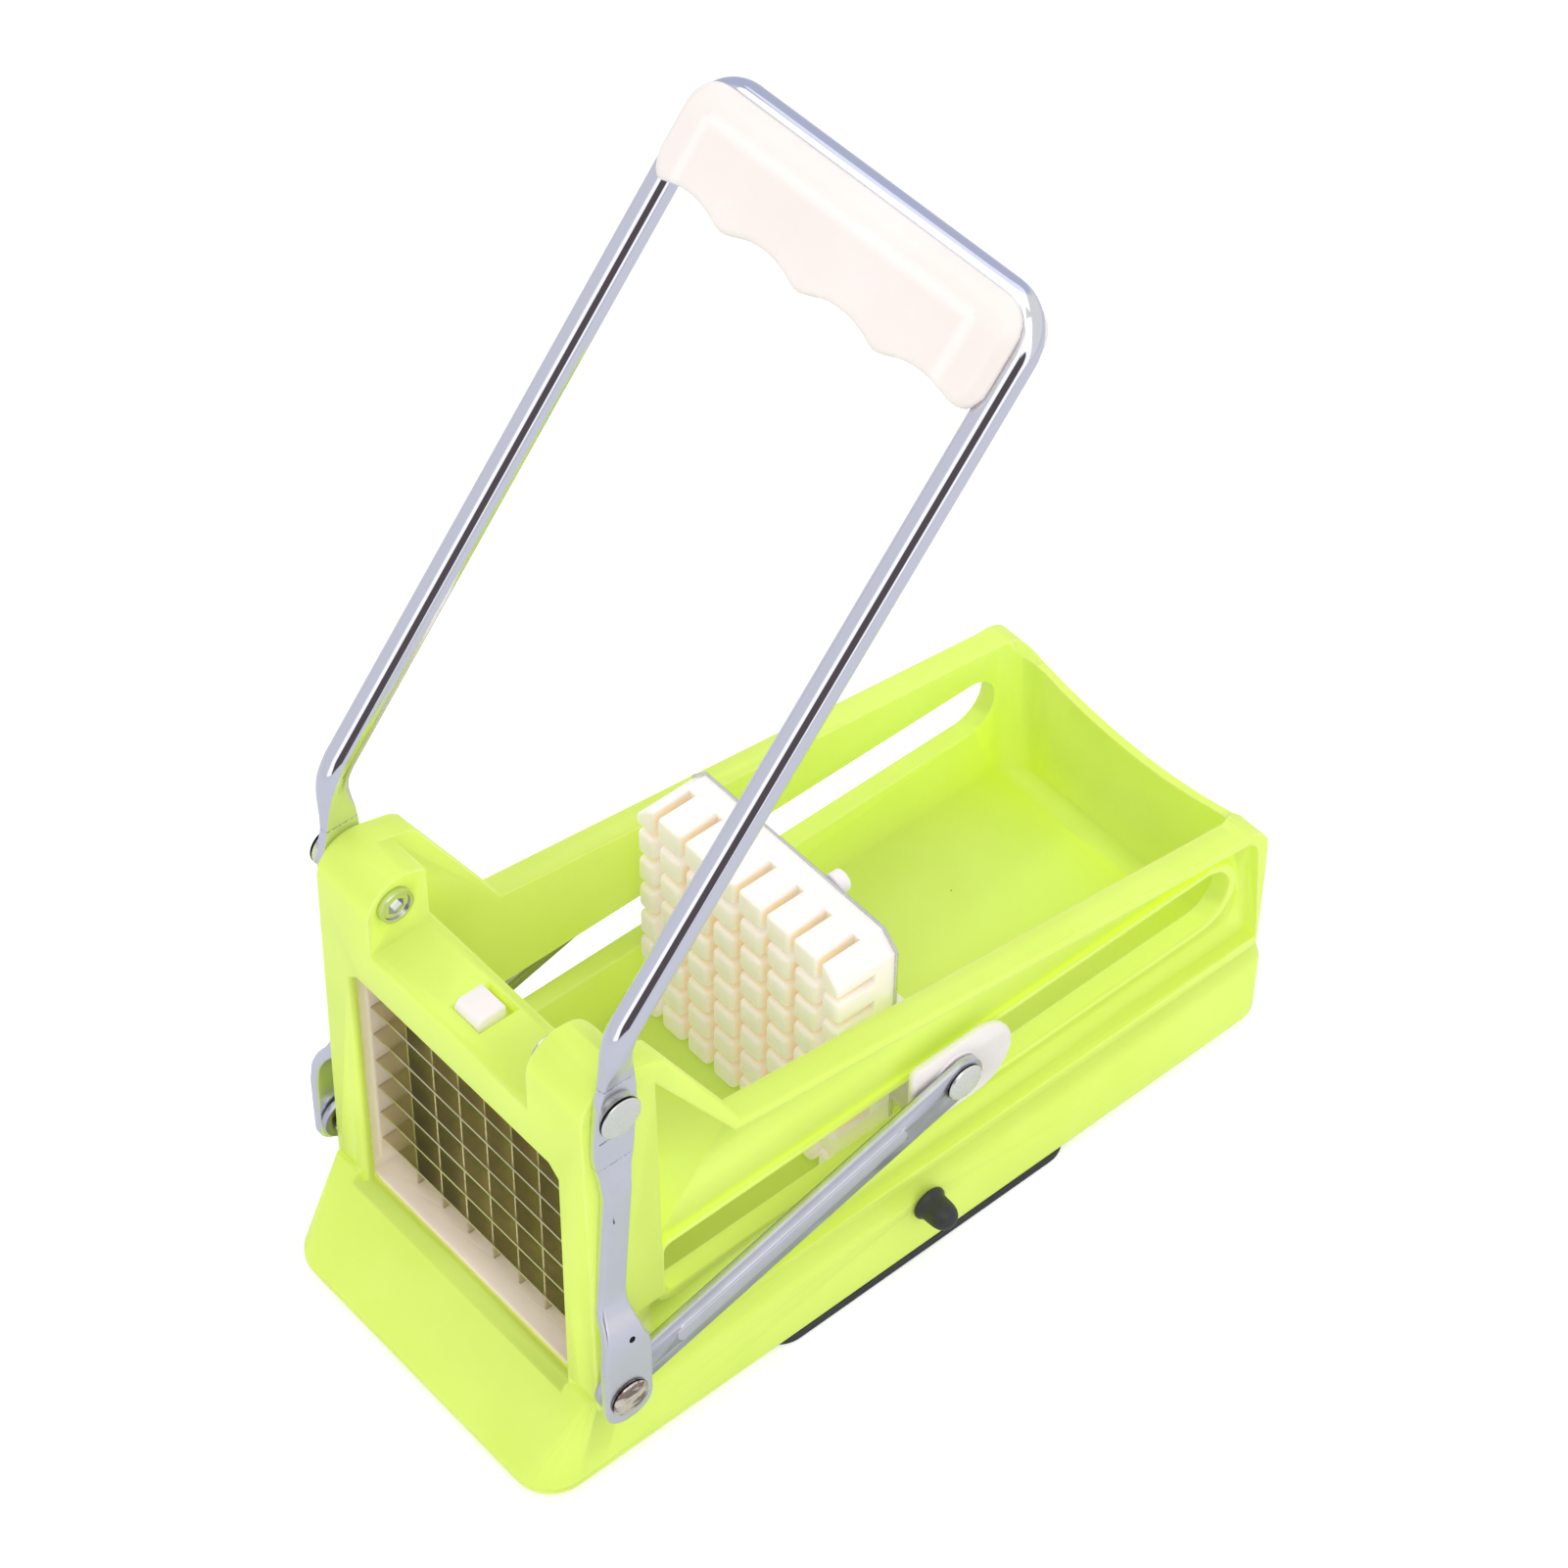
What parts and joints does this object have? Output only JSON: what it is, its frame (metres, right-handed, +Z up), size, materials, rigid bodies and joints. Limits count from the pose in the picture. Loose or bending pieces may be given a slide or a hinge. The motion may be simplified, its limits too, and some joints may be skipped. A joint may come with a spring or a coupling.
{
  "type": "french fry cutter",
  "caption": "Lever-driven countertop potato cutter: prong pusher slides along a trough and presses potatoes through a steel blade grid, on a suction base.",
  "frame": {"origin": "middle of the suction pad's flat underside, which is the resting plane", "axes": "+Z up; -Y towards the blade window, where the cut strips come out; +X towards the side with the suction knob"},
  "size_m": [0.1072, 0.2196, 0.2745],
  "materials": {
    "green_housing": "glossy injection-moulded lime green",
    "cream_plastic": "cream moulded plastic, soft gloss",
    "blade_steel": "thin stainless strip, satin",
    "plate_steel": "stainless sheet",
    "chrome_tube": "chromed tube, pressed flat below with a greyer plate",
    "zinc_steel": "zinc-plated pressed steel",
    "rivet_steel": "bright rivet heads, slightly scratched",
    "black_plastic": "black moulded knob",
    "black_rubber": "black rubber pad"
  },
  "bodies": {
    "base": {"housing": "green_housing", "blade_frame": "cream_plastic", "blades_level": "blade_steel", "blades_upright": "blade_steel", "pivot_bolts": "chrome_tube", "pivot_nuts": "rivet_steel", "pivot_rings": "chrome_tube", "suction_pad": "black_rubber", "suction_plate": "plate_steel", "suction_yoke": "plate_steel"},
    "lever": {"lever_tube": "chrome_tube", "grip_front": "cream_plastic", "grip_back": "cream_plastic", "grip_screws": "plate_steel", "lower_rivets": "rivet_steel"},
    "pusher": {"pusher_block": "cream_plastic", "pusher_plate": "plate_steel", "pusher_carrier": "cream_plastic", "pusher_screws": "plate_steel", "wing_plates": "cream_plastic"},
    "link_r": {"link_right": "zinc_steel", "wing_pin_right": "rivet_steel"},
    "link_l": {"link_left": "zinc_steel", "wing_pin_left": "rivet_steel"},
    "latch": {"blade_latch": "cream_plastic"},
    "knob": {"suction_knob": "black_plastic", "cam_shaft": "plate_steel", "shaft_clip": "plate_steel"}
  },
  "joints": [
    {"name": "lever_swing", "type": "hinge", "parent": "base", "child": "lever", "pos_m": [0, -0.0878, 0.1213], "axis": [1, 0, 0], "range_deg": [-51.5, 50]},
    {"name": "pusher_slide", "type": "slide", "parent": "base", "child": "pusher", "axis": [0, 1, 0], "range_m": [-0.066, 0.064]},
    {"name": "link_right_turn", "type": "hinge", "parent": "lever", "child": "link_r", "pos_m": [0.0479, -0.0909, 0.03325], "axis": [1, 0, 0], "range_deg": [-31, 32]},
    {"name": "link_left_turn", "type": "hinge", "parent": "lever", "child": "link_l", "pos_m": [-0.0479, -0.0909, 0.03325], "axis": [1, 0, 0], "range_deg": [-31, 32]},
    {"name": "latch_press", "type": "slide", "parent": "base", "child": "latch", "axis": [0, 1, 0], "range_m": [0, 0.0014], "stiffness_N_per_m": 900, "springref_m": -0.0006},
    {"name": "suction_turn", "type": "hinge", "parent": "base", "child": "knob", "pos_m": [0, 0, 0.01715], "axis": [1, 0, 0], "range_deg": [0, 90]}
  ],
  "couplings": [
    {"joint": "pusher_slide", "follows": "lever_swing", "m_per_rad": 0.0723},
    {"joint": "link_right_turn", "follows": "lever_swing", "ratio": -0.6},
    {"joint": "link_left_turn", "follows": "lever_swing", "ratio": -0.6}
  ]
}
